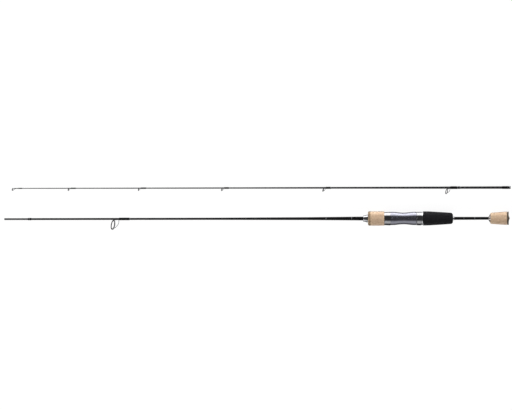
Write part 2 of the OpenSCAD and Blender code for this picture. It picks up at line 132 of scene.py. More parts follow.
class Section:
    """Axis of a rod section, the direction its guides point in, and the outline of its blank."""

    def __init__(self, centre_node, ring_mount, blank_node):
        centre = (low(centre_node) + high(centre_node)) / 2
        self.y, self.z = centre.y, centre.z
        ring = MOUNTS[ring_mount]["pos_m"]
        self.out = Vector((0, ring[1] - self.y, ring[2] - self.z)).normalized()
        self.side = self.out.cross(Vector((1, 0, 0)))
        self.outline = []
        for x, r in widest(blank_node, self):
            # Where only the bore has vertices, the widest of them is too narrow to be the outside.
            if not self.outline or r > self.outline[-1][1] - 1e-6:
                self.outline.append((x, r))

    def radius(self, x):
        """Outer radius of the blank, which only grows towards +X."""
        return radius_at(x, self.outline)

    def at(self, x, r=0.0, angle=0.0):
        """Point at radius r; angle 0 is where the guides point."""
        spoke = math.cos(angle) * self.out + math.sin(angle) * self.side
        return Vector((x, self.y, self.z)) + r * spoke

    def loop(self, x, r, around):
        """Circle of points round the axis."""
        return [self.at(x, r, angle) for angle in angles(around)]


butt = Section("end_cap", "butt_guide_line_ring", "butt_blank")
tip = Section("tip_blank", "guide_5_line_ring", "tip_blank")


# ---------------- mesh making

SAME_PLACE = 1e-7


class Shell:
    """Vertices and faces collected from several surfaces, which end up in one piece."""

    def __init__(self):
        self.verts = []
        self.faces = []

    def grid(self, rows, closed=False):
        """Quads over rows of points; every row is a closed loop, and a row of one point closes an end."""
        starts = []
        for row in rows:
            starts.append(len(self.verts))
            self.verts.extend(row)
        count = len(rows) if closed else len(rows) - 1
        for i in range(count):
            j = (i + 1) % len(rows)
            self.join(starts[i], len(rows[i]), starts[j], len(rows[j]))
        return self

    def join(self, a, size_a, b, size_b):
        size = max(size_a, size_b)
        for k in range(size):
            n = (k + 1) % size
            if size_a == 1:
                self.faces.append((a, b + k, b + n))
            elif size_b == 1:
                self.faces.append((a + k, b, a + n))
            else:
                self.faces.append((a + k, b + k, b + n, a + n))

    def piece(self, name, crease=32):
        """The shell in place of the CAD node of its name, smooth but for edges of over crease degrees."""
        mesh = bpy.data.meshes.new(name)
        mesh.from_pydata([tuple(v) for v in self.verts], [], self.faces)
        work = bmesh.new()
        work.from_mesh(mesh)
        bmesh.ops.remove_doubles(work, verts=work.verts, dist=SAME_PLACE)
        bmesh.ops.recalc_face_normals(work, faces=work.faces)
        for face in work.faces:
            face.smooth = True
        for edge in work.edges:
            edge.smooth = len(edge.link_faces) == 2 and edge.calc_face_angle(0) < math.radians(crease)
        work.to_mesh(mesh)
        work.free()
        obj = bpy.data.objects.new(name, mesh)
        bpy.context.collection.objects.link(obj)
        obj.data.materials.append(finish(SLOTS[name]))
        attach(obj, BODIES[name])
        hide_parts(name)


def fillet(points, steps=5):
    """Rounds the corners of a closed profile. A point is (x, r) or (x, r, fillet radius)."""
    rounded = []
    for i, point in enumerate(points):
        corner = Vector(point[:2])
        size = point[2] if len(point) > 2 else 0
        if size == 0:
            rounded.append(corner)
            continue
        before = Vector(points[i - 1][:2]) - corner
        after = Vector(points[(i + 1) % len(points)][:2]) - corner
        half = before.angle(after) / 2
        run = min(size / math.tan(half), before.length * 0.5, after.length * 0.5)
        size = run * math.tan(half)
        centre = corner + (before.normalized() + after.normalized()).normalized() * (size / math.sin(half))
        first = corner + before.normalized() * run - centre
        last = corner + after.normalized() * run - centre
        turn = first.angle_signed(last)
        for k in range(steps + 1):
            rounded.append(centre + first @ Matrix.Rotation(turn * k / steps, 2).transposed())
    return rounded


def turned(section, profile, steps=5, around=96):
    """Rows of a turned shape: the closed profile of (x, r) points goes round the section's axis."""
    return [section.loop(x, r, around) for x, r in fillet(profile, steps)]


def turned_piece(name, section, profile, steps=5):
    """The piece that a turned profile makes; steps is the number of faces in a fillet."""
    Shell().grid(turned(section, profile, steps), closed=True).piece(name)


def sweep(points, sizes, wide, around=14):
    """Rows of a bar that follows points; sizes are (across, along wide) half sizes at each point."""
    rows = []
    for i, point in enumerate(points):
        ahead = points[min(i + 1, len(points) - 1)] - points[max(i - 1, 0)]
        across = ahead.cross(wide).normalized()
        broad = across.cross(ahead).normalized()
        a, b = sizes[i]
        rows.append([point + across * a * math.cos(t) + broad * b * math.sin(t) for t in angles(around)])
    return [[points[0]]] + rows + [[points[-1]]]


# ---------------- node materials


class Finish:
    """A node material in the making. Each call adds a node and returns the socket that it gives."""

    def __init__(self, name, **constants):
        self.material = bpy.data.materials.new(name)
        self.material.use_nodes = True
        self.tree = self.material.node_tree
        self.shader = self.tree.nodes["Principled BSDF"]
        for key, value in constants.items():
            self.shader.inputs[key.replace("_", " ")].default_value = value

    def set(self, **links):
        """Links sockets to the shader's inputs, and gives the finished material."""
        for key, socket in links.items():
            self.tree.links.new(socket, self.shader.inputs[key.replace("_", " ")])
        return self.material

    def node(self, kind, inputs, output=0, **settings):
        node = self.tree.nodes.new(kind)
        for key, value in settings.items():
            setattr(node, key, value)
        for key, value in inputs.items():
            if isinstance(value, bpy.types.NodeSocket):
                self.tree.links.new(value, node.inputs[key])
            else:
                node.inputs[key].default_value = value
        return node.outputs[output]

    def place(self):
        return self.node("ShaderNodeTexCoord", {}, output="Object")

    def along(self):
        """Place along the rod."""
        return self.node("ShaderNodeSeparateXYZ", {0: self.place()}, output="X")

    def turns(self, section):
        """Angle round the section's axis, in turns."""
        split = self.node("ShaderNodeSeparateXYZ", {0: self.place()}).node
        y = self.math("SUBTRACT", split.outputs["Y"], section.y)
        z = self.math("SUBTRACT", split.outputs["Z"], section.z)
        return self.math("DIVIDE", self.math("ARCTAN2", z, y), 2 * math.pi)

    def math(self, operation, a, b=0.0):
        return self.node("ShaderNodeMath", {0: a, 1: b}, operation=operation)

    def times(self, a, b):
        return self.math("MULTIPLY", a, b)

    def sum(self, a, a_share, b, b_share):
        return self.math("ADD", self.times(a, a_share), self.times(b, b_share))

    def scaled(self, vector, factors):
        """The same place with its axes stretched, which draws out what is made from it."""
        return self.node("ShaderNodeVectorMath", {0: vector, 1: factors}, operation="MULTIPLY")

    def noise(self, vector, size, detail=3.0, rough=0.5):
        inputs = {"Vector": vector, "Scale": 1 / size, "Detail": detail, "Roughness": rough}
        return self.node("ShaderNodeTexNoise", inputs)

    def warped(self, vector, size, depth):
        """The same place pushed about by noise, so that what is drawn over it gets uneven edges."""
        push = self.node("ShaderNodeTexNoise", {"Vector": vector, "Scale": 1 / size}, output="Color")
        inputs = {0: push, 1: (depth,) * 3, 2: vector}
        return self.node("ShaderNodeVectorMath", inputs, operation="MULTIPLY_ADD")

    def cells(self, vector, size, output="Distance", feature="F1"):
        inputs = {"Vector": vector, "Scale": 1 / size}
        return self.node("ShaderNodeTexVoronoi", inputs, output=output, feature=feature)

    def range(self, value, start, end, to_start=0.0, to_end=1.0):
        """Eases from one value to another while the input goes from start to end."""
        inputs = {"Value": value, "From Min": start, "From Max": end, "To Min": to_start, "To Max": to_end}
        return self.node("ShaderNodeMapRange", inputs, interpolation_type="SMOOTHSTEP")

    def spread(self, noise_value, to_start=0.0, to_end=1.0):
        """Spreads noise, most of which lies between 0.3 and 0.7, over a whole range."""
        return self.range(noise_value, 0.3, 0.7, to_start, to_end)

    def mix(self, factor, a, b, blend="MIX"):
        inputs = {0: factor, 6: colour(a), 7: colour(b)}
        return self.node("ShaderNodeMix", inputs, output=2, data_type="RGBA", blend_type=blend)

    def ridges(self, position, pitch):
        """Wave from 0 to 1 that repeats every pitch."""
        wave = self.math("SINE", self.times(position, 2 * math.pi / pitch))
        return self.node("ShaderNodeMath", {0: wave, 1: 0.5, 2: 0.5}, operation="MULTIPLY_ADD")

    def bump(self, height, depth):
        return self.node("ShaderNodeBump", {"Height": height, "Distance": depth, "Strength": 1.0})


def colour(value):
    """An (r, g, b) or a socket, as a colour input takes it."""
    return value if isinstance(value, bpy.types.NodeSocket) else (*value, 1.0)


# ---------------- finishes, one function for each

THREAD = 0.16 * MM
TAPE_PITCH = 8 * MM
CORK_RING = 12.95 * MM
SATIN = dict(IOR=1.4, Specular_IOR_Level=0.2, Coat_Roughness=0.15, Coat_IOR=1.35)

# Places along the butt blank, from its spigot to its lacquer, and half the width of a border between them.
SPIGOT_END = low("ferrule_wrap").x
TAPE_START = SPIGOT_END + 10 * MM
TAPE_END = high("butt_guide_frame").x
LACQUER_START = low("front_check").x - 104 * MM
BORDER = 0.2 * MM


def tape_pattern(made, section):
    """Crossed turns of carbon tape."""
    along = made.math("DIVIDE", made.along(), TAPE_PITCH)
    turns = made.turns(section)
    bands = []
    for hand in ("ADD", "SUBTRACT"):
        phase = made.math("FRACT", made.math(hand, along, turns))
        bands.append(made.range(made.math("PINGPONG", phase, 0.5), 0.2, 0.3))
    return made.sum(bands[0], 0.5, bands[1], 0.5)


def carbon(made, tape):
    """Base colour, roughness and bump of satin carbon: fine fibres along the rod under the tape."""
    fibres = made.noise(made.scaled(made.place(), (0.02, 1, 1)), 0.25 * MM, 4, 0.6)
    base = made.mix(tape, (0.012, 0.012, 0.013), (0.034, 0.035, 0.038))
    base = made.mix(made.times(fibres, 0.4), base, (0.020, 0.020, 0.022))
    bump = made.bump(made.sum(tape, 0.6, fibres, 0.4), 0.012 * MM)
    return base, made.spread(fibres, 0.42, 0.58), bump


def tip_blank_finish(name):
    made = Finish(name, Coat_Weight=0.1, **SATIN)
    base, rough, bump = carbon(made, tape_pattern(made, tip))
    return made.set(Base_Color=base, Roughness=rough, Normal=bump)


def butt_blank_finish(name):
    """Satin carbon whose tape fades out, with a ground matt spigot, and black lacquer at its thick end."""
    made = Finish(name, **SATIN)
    x = made.along()
    fade = made.range(x, TAPE_START, TAPE_END, 1.0, 0.12)
    base, rough, bump = carbon(made, made.times(tape_pattern(made, butt), fade))
    ground = made.range(x, SPIGOT_END - BORDER, SPIGOT_END + BORDER, 1.0, 0.0)
    scuffs = made.noise(made.scaled(made.place(), (4, 1, 1)), 0.8 * MM, 4, 0.7)
    matt = made.mix(scuffs, (0.075, 0.076, 0.08), (0.12, 0.121, 0.125))
    lacquer = made.range(x, LACQUER_START - BORDER, LACQUER_START + BORDER)
    coat = made.math("ADD", made.range(ground, 0, 1, 0.1, 0.0), made.times(lacquer, 0.3))
    rough = made.math("MAXIMUM", rough, made.times(ground, 0.6))
    base = made.mix(ground, base, matt)
    base = made.mix(made.times(lacquer, 0.9), base, (0.003, 0.003, 0.0035))
    return made.set(Base_Color=base, Roughness=rough, Coat_Weight=coat, Normal=bump)


def shaft_finish(name):
    """Gloss black lacquer over a ground tube."""
    made = Finish(
        name, IOR=1.4, Specular_IOR_Level=0.15, Coat_Weight=0.08, Coat_Roughness=0.1, Coat_IOR=1.35)
    place = made.place()
    depth = made.noise(place, 3 * MM, 3)
    marks = made.noise(made.scaled(place, (1, 0.1, 0.1)), 0.3 * MM, 4, 0.7)
    base = made.mix(depth, (0.004, 0.004, 0.005), (0.010, 0.010, 0.011))
    return made.set(Base_Color=base, Roughness=made.spread(marks, 0.3, 0.45))


def thread_finish(name, dark, light, metallic, coat):
    """Turns of winding thread seen through epoxy, with painted shade in the grooves between turns."""
    made = Finish(
        name, IOR=1.4, Metallic=metallic, Specular_IOR_Level=0.1,
        Coat_Weight=coat, Coat_Roughness=0.06, Coat_IOR=1.4)
    # Painted shade: the colour darkens from each turn's crest into the groove beside it, and random fray
    # varies it too.
    turn = made.ridges(made.along(), THREAD)
    fray = made.noise(made.scaled(made.place(), (1, 0.2, 0.2)), 0.1 * MM, 3, 0.7)
    groove_shade_and_fray = made.times(turn, made.spread(fray, 0.5, 1.0))
    base = made.mix(groove_shade_and_fray, dark, light)
    return made.set(Base_Color=base, Roughness=made.spread(fray, 0.3, 0.5), Normal=made.bump(groove_shade_and_fray, 0.03 * MM))


def metal_finish(name, bright, dull, rough, clouds=1.5 * MM, drawn=(1, 1, 1)):
    """Polished metal with faint clouding and fine marks, drawn out along one direction."""
    made = Finish(name, Metallic=1.0, Anisotropic=0.2)
    place = made.place()
    cloud = made.noise(place, clouds, 3)
    marks = made.noise(made.scaled(place, drawn), 0.12 * MM, 4, 0.7)
    base = made.mix(made.spread(cloud), dull, bright)
    rough = made.spread(made.sum(cloud, 0.4, marks, 0.6), rough * 0.75, rough * 1.5)
    return made.set(Base_Color=base, Roughness=rough, Normal=made.bump(marks, 0.002 * MM))


def seat_finish(name):
    """Blue-grey gunmetal coating under a clear coat, with the fine flake of such a coating."""
    made = Finish(name, Metallic=0.92, Coat_Weight=1.0, Coat_Roughness=0.05, Coat_IOR=1.5)
    place = made.place()
    cloud = made.noise(made.scaled(place, (0.3, 1, 1)), 4 * MM, 3)
    flake = made.cells(place, 0.12 * MM, "Color")
    base = made.mix(made.spread(cloud), (0.262, 0.264, 0.322), (0.36, 0.362, 0.428))
    base = made.mix(0.12, base, flake, "OVERLAY")
    shine = made.noise(place, 0.5 * MM, 3)
    return made.set(Base_Color=base, Roughness=made.spread(shine, 0.16, 0.26))


def ceramic_finish(name):
    """Ring ceramic, lapped to a mirror, with the faint mottle of its grain."""
    made = Finish(name, IOR=1.55, Specular_IOR_Level=0.35)
    grain = made.noise(made.place(), 0.15 * MM, 5, 0.7)
    base = made.mix(grain, (0.012, 0.012, 0.014), (0.045, 0.046, 0.05))
    return made.set(Base_Color=base, Roughness=made.spread(grain, 0.06, 0.14))


def cork_finish(name):
    """Sanded natural cork: soft mottle, dark lenticels drawn out round the grip, and open pores."""
    made = Finish(name, IOR=1.4, Sheen_Weight=0.2, Sheen_Roughness=0.6, Specular_IOR_Level=0.4)
    place = made.place()
    ring = made.math("FLOOR", made.math("DIVIDE", made.along(), CORK_RING))
    tone = made.node("ShaderNodeTexWhiteNoise", {"W": ring}, noise_dimensions="1D")
    mottle = made.noise(place, 2.2 * MM, 6, 0.62)
    base = made.mix(made.range(mottle, 0.32, 0.68), (0.60, 0.40, 0.245), (0.80, 0.61, 0.43))
    base = made.mix(made.times(tone, 0.35), base, (0.70, 0.47, 0.33))
    streaks = made.noise(made.scaled(place, (2.4, 0.55, 0.55)), 1.1 * MM, 4, 0.6)
    lenticel = made.range(streaks, 0.64, 0.74)
    base = made.mix(made.times(lenticel, 0.8), base, (0.20, 0.105, 0.05))
    pores = made.range(made.cells(place, 0.5 * MM), 0.12, 0.02)
    patches = made.range(made.noise(place, 1.6 * MM, 2), 0.45, 0.6)
    pore = made.times(pores, patches)
    base = made.mix(made.times(pore, 0.7), base, (0.24, 0.13, 0.07))
    grain = made.noise(place, 0.18 * MM, 4, 0.7)
    hollow = made.math("MAXIMUM", lenticel, pore)
    height = made.math("SUBTRACT", made.times(grain, 0.25), hollow)
    rough = made.range(hollow, 0, 1, 0.68, 0.95)
    return made.set(Base_Color=base, Roughness=rough, Normal=made.bump(height, 0.09 * MM))


def granule_finish(name, binder, light, dark, size):
    """Rubberised cork: pressed granules of several browns in a dark binder. On the fore grip's trim ring its
    darker browns are painted shade.
    """
    made = Finish(name, IOR=1.45, Specular_IOR_Level=0.25)
    place = made.place()
    uneven = made.warped(place, size * 0.5, size * 0.8)
    tone = made.node("ShaderNodeRGBToBW", {0: made.cells(uneven, size, "Color")})
    seam = made.range(made.cells(uneven, size, "Distance", "DISTANCE_TO_EDGE"), 0.02, 0.14)
    base = made.mix(made.range(tone, 0.2, 0.8), dark, light)
    base = made.mix(seam, binder, base)
    speck = made.noise(place, size * 0.25, 4, 0.7)
    base = made.mix(made.range(speck, 0.55, 0.75, 0.0, 0.5), base, dark)
    bump = made.bump(made.sum(seam, 0.6, speck, 0.4), 0.05 * MM)
    return made.set(Base_Color=base, Roughness=made.spread(speck, 0.62, 0.85), Normal=bump)


def foam_finish(name):
    """Ground closed-cell foam: matt black with tiny cut cells."""
    made = Finish(name, IOR=1.4, Specular_IOR_Level=0.12, Sheen_Weight=0.05, Sheen_Roughness=0.5)
    place = made.place()
    cells = made.cells(place, 0.28 * MM)
    cloud = made.noise(place, 2.5 * MM, 4, 0.6)
    base = made.mix(made.range(cells, 0.1, 0.6), (0.007, 0.007, 0.008), (0.017, 0.017, 0.019))
    base = made.mix(made.range(cloud, 0.4, 0.75, 0.0, 0.4), base, (0.022, 0.022, 0.024))
    return made.set(
        Base_Color=base, Roughness=made.spread(cloud, 0.85, 0.97), Normal=made.bump(cells, 0.06 * MM))


def moulded_finish(name, dark, light, rough):
    """Moulded nylon with a fine eroded grain."""
    made = Finish(name, IOR=1.5, Specular_IOR_Level=0.4)
    place = made.place()
    grain = made.noise(place, 0.2 * MM, 4, 0.6)
    wear = made.noise(place, 5 * MM, 3)
    base = made.mix(made.range(wear, 0.35, 0.7), dark, light)
    rough = made.spread(grain, rough - 0.1, rough + 0.1)
    return made.set(Base_Color=base, Roughness=rough, Normal=made.bump(grain, 0.02 * MM))


# Marks run along the rod on drawn wire, and round it on turned metal.
DRAWN = (0.1, 1, 1)
TURNED = (6, 0.1, 0.1)

MAKERS = {
    "blank": (tip_blank_finish, {}),
    "spigot_blank": (butt_blank_finish, {}),
    "shaft": (shaft_finish, {}),
    "wrap": (thread_finish, dict(
        dark=(0.001, 0.001, 0.001), light=(0.006, 0.006, 0.007), metallic=0.0, coat=0.08)),
    "silver_thread": (thread_finish, dict(
        dark=(0.35, 0.36, 0.38), light=(0.85, 0.86, 0.88), metallic=0.9, coat=0.8)),
    "guide_frame": (metal_finish, dict(
        bright=(0.44, 0.45, 0.47), dull=(0.33, 0.34, 0.36), rough=0.14, drawn=DRAWN)),
    "tip_frame": (metal_finish, dict(
        bright=(0.16, 0.165, 0.175), dull=(0.09, 0.092, 0.1), rough=0.2, drawn=DRAWN)),
    "guide_ring": (ceramic_finish, {}),
    "check": (metal_finish, dict(
        bright=(0.86, 0.86, 0.88), dull=(0.74, 0.74, 0.77), rough=0.10, drawn=TURNED)),
    "end_check": (metal_finish, dict(
        bright=(0.80, 0.75, 0.73), dull=(0.68, 0.63, 0.61), rough=0.16, drawn=TURNED)),
    "cork": (cork_finish, {}),
    # The fore grip's trim ring: its darker browns are painted shade of the grip's rounded front edge.
    "dark_cork": (granule_finish, dict(
        binder=(0.22, 0.15, 0.09), light=(0.62, 0.46, 0.30), dark=(0.34, 0.23, 0.14), size=1.1 * MM)),
    "end_cap": (granule_finish, dict(
        binder=(0.05, 0.04, 0.03), light=(0.27, 0.215, 0.165), dark=(0.08, 0.062, 0.047), size=0.9 * MM)),
    "seat": (seat_finish, {}),
    "hood": (metal_finish, dict(
        bright=(0.52, 0.52, 0.54), dull=(0.42, 0.42, 0.44), rough=0.09, clouds=4 * MM)),
    "liner": (moulded_finish, dict(
        dark=(0.010, 0.010, 0.011), light=(0.022, 0.022, 0.024), rough=0.5)),
    "slip_ring": (metal_finish, dict(
        bright=(0.78, 0.78, 0.80), dull=(0.66, 0.66, 0.69), rough=0.12, drawn=TURNED)),
    "nut": (moulded_finish, dict(
        dark=(0.012, 0.012, 0.013), light=(0.024, 0.024, 0.026), rough=0.55)),
    "foam": (foam_finish, {}),
    "bush": (moulded_finish, dict(
        dark=(0.035, 0.035, 0.037), light=(0.06, 0.06, 0.063), rough=0.8)),
}


@functools.cache
def finish(slot):
    """The material of a slot, made when it is first asked for."""
    make, settings = MAKERS[slot]
    return make(slot + "_finish", **settings)


# ---------------- grips of cork and foam

# The gap that glue fills, and radii of the blank and of the shaft where the handle sits on them.
GLUE = 0.01 * MM
CORE = butt.radius(high("butt_blank").x)
SHAFT = widest("rear_shaft", butt)
SHAFT_END = SHAFT[-1][1] + GLUE

# The foam's bore, and its nose with the narrower bore that it shares with the rear check.
FOAM_BORE = CORE + 0.8 * MM
FOAM_NOSE = 3 * MM
CHECK_WALL = 0.45 * MM
REAR_BORE = high("rear_check").z - butt.z - CHECK_WALL

# Rounding at the joints of the cork rings.
SEAM = 0.3 * MM


def sags(a, b, c):
    """Whether b lies on or under the line from a to c."""
    return (b[1] - a[1]) * (c[0] - a[0]) <= (c[1] - a[1]) * (b[0] - a[0])


def hull(node):
    """Outline of a turned node that bulges outwards, as (x, r) points from its start to its end."""
    top = []
    for point in sorted({(round(x, 6), round(r, 6)) for x, r in around_axis(node, butt)}):
        while len(top) > 1 and sags(top[-2], top[-1], point):
            top.pop()
        top.append(point)
    return top


def grain_relief(point):
    """Depth of the pits in natural cork, which are drawn out round the grip, and of its pores."""
    density = Vector((0.9, 0.42, 0.42)) / MM
    pit = noise.noise(Vector(a * b for a, b in zip(point, density)))
    pore = noise.noise(point / (0.55 * MM) + Vector((7, 3, 5)))
    return 0.20 * MM * smoothstep((pit - 0.40) / 0.2) + 0.07 * MM * smoothstep((pore - 0.35) / 0.3)


def granule_relief(point):
    """Depth of the seams between pressed granules."""
    grain = noise.noise(point / (0.8 * MM))
    return 0.05 * MM * smoothstep((grain - 0.1) / 0.4)


def foam_relief(point):
    """Faint unevenness that grinding leaves on foam."""
    return 0.04 * MM * smoothstep(0.5 + noise.noise(point / (2.2 * MM)))


def plain_bore(outline, r):
    """A straight bore of radius r, as (x, r) points from the outline's end back to its start."""
    return [(outline[-1][0], r), (outline[0][0], r)]


def pitted(x, r, angle, relief):
    """Point on a grip, pushed in by the relief of its material there."""
    return butt.at(x, r - relief(butt.at(x, r, angle)), angle)


def ground_piece(name, outline, bore, relief, seam=0.0, step=0.3 * MM, around=240):
    """A grip of a soft material: a fine pitted grid over its outline, rounded off at its seams."""
    start, end = outline[0][0], outline[-1][0]
    count = round((end - start) / step)
    rows = []
    for i in range(count + 1):
        x = start + (end - start) * i / count
        drop = seam * (1 - quarter_round(min(x - start, end - x) / seam)) if seam else 0
        r = radius_at(x, outline) - drop
        rows.append([pitted(x, r, angle, relief) for angle in angles(around)])
    rows += [butt.loop(x, r, around) for x, r in bore]
    Shell().grid(rows, closed=True).piece(name, crease=60)


def make_cork():
    for node in ("fore_grip_cork_front", "fore_grip_cork_rear", "end_grip_cork_front", "end_grip_cork_rear"):
        outline = hull(node)
        bore = plain_bore(outline, CORE if node.startswith("fore") else SHAFT_END)
        ground_piece(node, outline, bore, grain_relief, SEAM)


def make_trim_ring():
    # The trim ring is drawn darker than the cork beside it, as painted shade of the grip's rounded front
    # edge.
    outline = hull("fore_grip_trim_ring")
    ground_piece("fore_grip_trim_ring", outline, plain_bore(outline, CORE), granule_relief)


def make_foam():
    """The foam has a recess for the lock nut at its front, and its bore narrows at its nose."""
    outline = hull("rear_grip_foam")
    start, end = outline[0][0], outline[-1][0]
    _, recess, nut = reach("lock_nut")
    nose = end - FOAM_NOSE
    bore = [
        (end, REAR_BORE), (nose, REAR_BORE), (nose, FOAM_BORE),
        (recess, FOAM_BORE), (recess, nut), (start, nut),
    ]
    ground_piece("rear_grip_foam", outline, bore, foam_relief, step=0.5 * MM, around=160)


def make_end_cap():
    start, end, outer = reach("end_cap")
    profile = [(start, 0), (start, outer, 0.3 * MM), (end, outer, 2 * MM), (end, 0)]
    turned_piece("end_cap", butt, profile, steps=10)


# ---------------- winding checks and slip ring

# Play between the pieces that turn and slide, and the outer radius of the lock thread.
PLAY = low("rear_grip_foam").x - high("slip_ring").x
BARREL = 8.4 * MM


def make_front_check():
    """A cup that flares out where it meets the cork."""
    start, end, _ = reach("front_check")
    length = end - start
    turned_piece("front_check", butt, [
        (start, CORE), (start, 5.4 * MM, 0.3 * MM), (start + 0.09 * length, 6 * MM, 0.4 * MM),
        (start + 0.6 * length, 6.05 * MM, 2 * MM), (start + 0.85 * length, 7.3 * MM, 1 * MM),
        (end, 7.6 * MM, 0.3 * MM), (end, CORE),
    ])


def make_rear_check():
    start, end, outer = reach("rear_check")
    edge = 0.2 * MM
    turned_piece("rear_check", butt, [
        (start, REAR_BORE, edge), (start, outer, edge), (end, outer, edge), (end, REAR_BORE, edge),
    ])


def make_end_check():
    """A cone with a rounded nose."""
    start, end, outer = reach("end_check")
    length = end - start
    turned_piece("end_check", butt, [
        (start, SHAFT_END), (start, 3.2 * MM, 0.2 * MM), (start + 0.2 * length, 3.9 * MM, 0.6 * MM),
        (start + 0.92 * length, outer - 0.1 * MM, 0.2 * MM), (end, outer, 0.1 * MM), (end, SHAFT_END),
    ])


def make_slip_ring():
    """A ring with a step at its front."""
    start, end, outer = reach("slip_ring")
    inner = BARREL + PLAY
    step = 0.5 * MM
    edge = 0.25 * MM
    turned_piece("slip_ring", butt, [
        (start, inner), (start, outer - step, 0.1 * MM), (start + step, outer - step),
        (start + step, outer, edge), (end, outer, edge), (end, inner),
    ])


# ---------------- thread wraps and bands

# Thicknesses of thread with its epoxy.
WINDING = 0.3 * MM
THIN_WINDING = 0.25 * MM
STOP_WINDING = 0.45 * MM
PLAIN_BAND = 0.15 * MM
FOOT_COVER = 0.12 * MM

# Lengths along the rod: a winding of the ferrule's stop, a silver band, and one turn of its thread.
STOP_LENGTH = 2 * MM
BAND_LENGTH = 0.9 * MM
BAND_THREAD = 0.15 * MM


def sleeve_piece(name, section, bands, swell, outline=None):
    """Epoxied thread on a core, whose thickness is swell(x, angle, share); share runs from 0 to 1."""
    core = outline or section.outline
    around = 72
    shell = Shell()
    for start, end in bands:
        count = max(12, round((end - start) / (0.25 * MM)))
        outside = [start + (end - start) * i / count for i in range(count + 1)]
        rows = []
        for x in outside:
            share = (x - start) / (end - start)
            inner = radius_at(x, core) + GLUE
            rows.append([section.at(x, inner + swell(x, a, share), a) for a in angles(around)])
        for x in (end, start):
            rows.append(section.loop(x, radius_at(x, core) + GLUE, around))
        shell.grid(rows, closed=True)
    shell.piece(name, crease=40)


def rounded_end(share, length, edge):
    """Rises from 0 to 1 over the edge at both ends of a wrap."""
    return quarter_round(min(share, 1 - share) * length / edge)


def plain_swell(thickness, length, edge):
    """An even coat of thread and epoxy, rounded off at both ends."""
    return lambda x, angle, share: thickness * (0.35 + 0.65 * rounded_end(share, length, edge))


def plain_wrap(node, section, thickness, edge=0.8 * MM):
    start, end, _ = reach(node)
    sleeve_piece(node, section, [(start, end)], plain_swell(thickness, end - start, edge))


def silver_bands(node, section, places, thickness, length=BAND_LENGTH, outline=None):
    """Turns of metallic thread laid side by side; each turn stands out as a ridge."""
    threads = round(length / BAND_THREAD)

    def swell(x, angle, share):
        return thickness * (0.7 + 0.3 * abs(math.sin(math.pi * threads * share)))

    sleeve_piece(node, section, [(x, x + length) for x in places], swell, outline)


def foot_wrap(node, guide):
    """Wrap with a full coat of epoxy, which swells over the guide's foot and tapers off behind it."""
    start, end, _ = reach(node)
    cover = guide.foot_thickness * 0.85 + 0.1 * MM
    hump_half = guide.foot_width * 0.62

    def swell(x, angle, share):
        off_foot = math.remainder(angle, 2 * math.pi) * guide.section.radius(x) / hump_half
        hump = guide.foot_thickness * (1 - 0.65 * share) * math.exp(-off_foot ** 4)
        thick = soft_max(cover, hump + FOOT_COVER, 0.1 * MM)
        return thick * (0.3 + 0.7 * rounded_end(share, end - start, 1.2 * MM))

    sleeve_piece(node, guide.section, [(start, end)], swell)


def make_ferrule_stop():
    """Two short windings with a silver band between them."""
    start, end, _ = reach("ferrule_wrap")
    silver, silver_end, _ = reach("ferrule_trim")
    swell = plain_swell(STOP_WINDING, STOP_LENGTH, 0.5 * MM)
    sleeve_piece("ferrule_wrap", butt, [(start, silver), (silver_end, end)], swell)
    silver_bands("ferrule_trim", butt, [silver], STOP_WINDING)


def make_trimmed_wraps():
    """The silver bands beside wraps, the dark band between two of them, and the wrap over the socket."""
    dark = "guide_5_band"
    silver_bands("butt_guide_trims", butt, [low("butt_guide_trims").x], WINDING)
    silver_bands("socket_trim", tip, [low("socket_trim").x], THIN_WINDING, 0.8 * MM)
    places = [low("tip_trim_bands").x, low(dark).x - BAND_LENGTH, high(dark).x]
    silver_bands("tip_trim_bands", tip, places, WINDING)
    plain_wrap(dark, tip, WINDING, 0.4 * MM)
    plain_wrap("socket_wrap", tip, THIN_WINDING)


def make_plain_bands():
    """The silver bands that stand alone, two on the blank and two on the shaft."""
    for node, outline in (("blank_trim_bands", butt.outline), ("shaft_trim_bands", SHAFT)):
        silver_bands(node, butt, [low(node).x, high(node).x - BAND_LENGTH], PLAIN_BAND, outline=outline)


def make_socket_band():
    """The smooth band round the socket's mouth."""
    start, end, outer = reach("socket_band")
    edge = 0.3 * MM
    turned_piece("socket_band", tip, [
        (start, tip.radius(start)), (start, outer, edge), (end, outer, edge), (end, tip.radius(end)),
    ])


# ---------------- line guides

# The collar's wall, and the part of the ceramic ring's radius that its bore takes.
HOLDER_WALL = 0.45 * MM
BORE_SHARE = 0.74

# Where a leg meets the ring, counted from its top, and its bow as a part of the guide's height.
LEG_ANGLE = math.radians(110)
LEG_BOW = 0.145

# How far the foot's heel and the legs' toes stand ahead of the wrap.
HEEL = 1.2 * MM
TOE = 0.6 * MM


